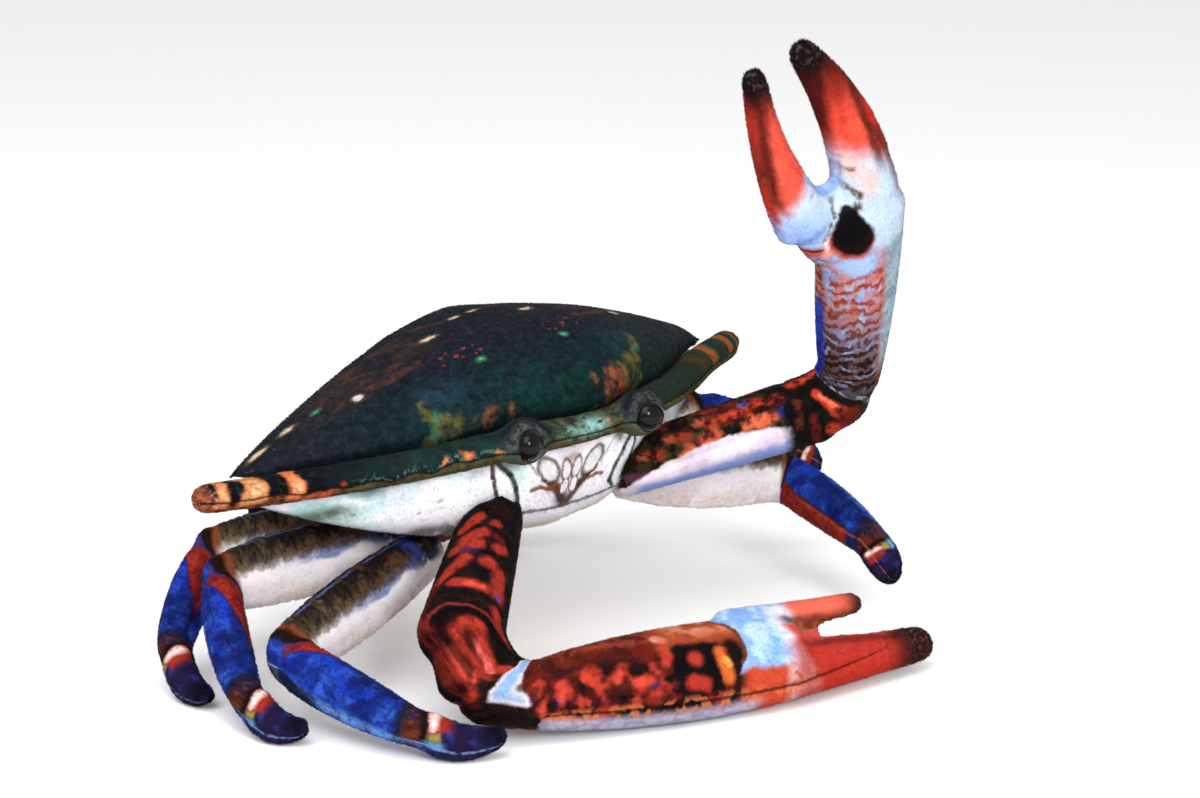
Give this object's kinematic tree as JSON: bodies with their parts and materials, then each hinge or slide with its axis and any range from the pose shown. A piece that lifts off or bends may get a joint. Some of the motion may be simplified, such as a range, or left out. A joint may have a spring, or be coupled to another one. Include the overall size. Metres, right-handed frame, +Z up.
{
  "type": "stuffed plush swimming crab toy",
  "caption": "Life-size stuffed plush blue swimming crab in printed short-pile fabric, with glossy plastic eyes, standing with its left claw raised and its right claw laid along the floor.",
  "frame": {"origin": "on the floor, under the middle of the whole crab's box", "axes": "+Z up from the floor; -Y is the way the crab faces; +X is towards the crab's own left, the raised claw"},
  "size_m": [0.3362, 0.2786, 0.2657],
  "materials": {
    "shell_print": "short velour pile printed dark blue-green with orange and cream flecks",
    "rim_print": "short velour pile printed olive green with orange and cream blocks",
    "white_plush": "short velour pile, white with a printed brown and green face",
    "claw_print": "short velour pile printed red-orange and black, with light blue joints and black tips",
    "leg_print": "short velour pile printed white and olive above, bright blue below, with navy feet",
    "black_eye": "polished black plastic"
  },
  "bodies": {
    "root": {"belly": "white_plush", "shell": "shell_print", "rim": "rim_print", "eye_left": "black_eye", "eye_collar_left": "rim_print", "claw_left_arm": "claw_print", "claw_left_elbow": "claw_print", "claw_left_palm": "claw_print", "claw_left_fixed_finger": "claw_print", "claw_left_moving_finger": "claw_print", "leg_left_1_upper": "leg_print", "leg_left_1_lower": "leg_print", "leg_left_1_foot": "leg_print", "leg_left_2_upper": "leg_print", "leg_left_2_lower": "leg_print", "leg_left_2_foot": "leg_print", "leg_left_3_upper": "leg_print", "leg_left_3_lower": "leg_print", "leg_left_3_foot": "leg_print", "swim_left_upper": "leg_print", "swim_left_paddle": "leg_print", "eye_right": "black_eye", "eye_collar_right": "rim_print", "claw_right_arm": "claw_print", "claw_right_elbow": "claw_print", "claw_right_palm": "claw_print", "claw_right_fixed_finger": "claw_print", "claw_right_moving_finger": "claw_print", "leg_right_1_upper": "leg_print", "leg_right_1_lower": "leg_print", "leg_right_1_foot": "leg_print", "leg_right_2_upper": "leg_print", "leg_right_2_lower": "leg_print", "leg_right_2_foot": "leg_print", "leg_right_3_upper": "leg_print", "leg_right_3_lower": "leg_print", "leg_right_3_foot": "leg_print", "swim_right_upper": "leg_print", "swim_right_paddle": "leg_print"}
  },
  "joints": []
}
